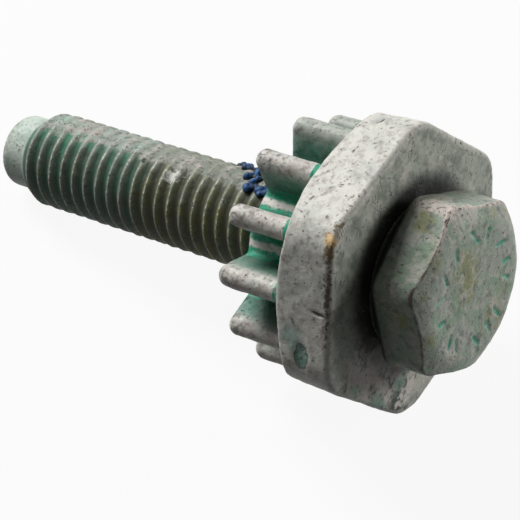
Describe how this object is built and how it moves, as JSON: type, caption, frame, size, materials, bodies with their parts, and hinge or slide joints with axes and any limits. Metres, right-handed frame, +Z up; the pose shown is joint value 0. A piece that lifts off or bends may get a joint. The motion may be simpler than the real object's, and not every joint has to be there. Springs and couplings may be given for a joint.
{
  "type": "bolt with captive tensioning pinion",
  "caption": "Hexagon bolt with a dog point and a captive toothed hexagon pinion that turns on its shank, held on by a nylon locking patch; it tensions a belt and is then clamped.",
  "frame": {"origin": "on the surface that the part lies on, below the middle of its box", "axes": "+Z up from that surface, +X along the bolt from head to tip as seen from above; the tip points about 13 degrees down"},
  "size_m": [0.0462, 0.0234, 0.0229],
  "materials": {
    "bolt_steel": "worn olive zinc coating, matt",
    "pinion_steel": "worn grey-white zinc coating with teal recesses, matt",
    "patch_nylon": "granular blue nylon"
  },
  "bodies": {
    "bolt": {"hex_bolt": "bolt_steel", "retaining_patch": "patch_nylon"},
    "pinion": {"tensioner_pinion": "pinion_steel"}
  },
  "joints": [
    {"name": "pinion_spin", "type": "hinge", "parent": "bolt", "child": "pinion", "pos_m": [-0.01668, 0, 0.0119], "axis": [0.975, 0, -0.2221], "continuous": true}
  ]
}
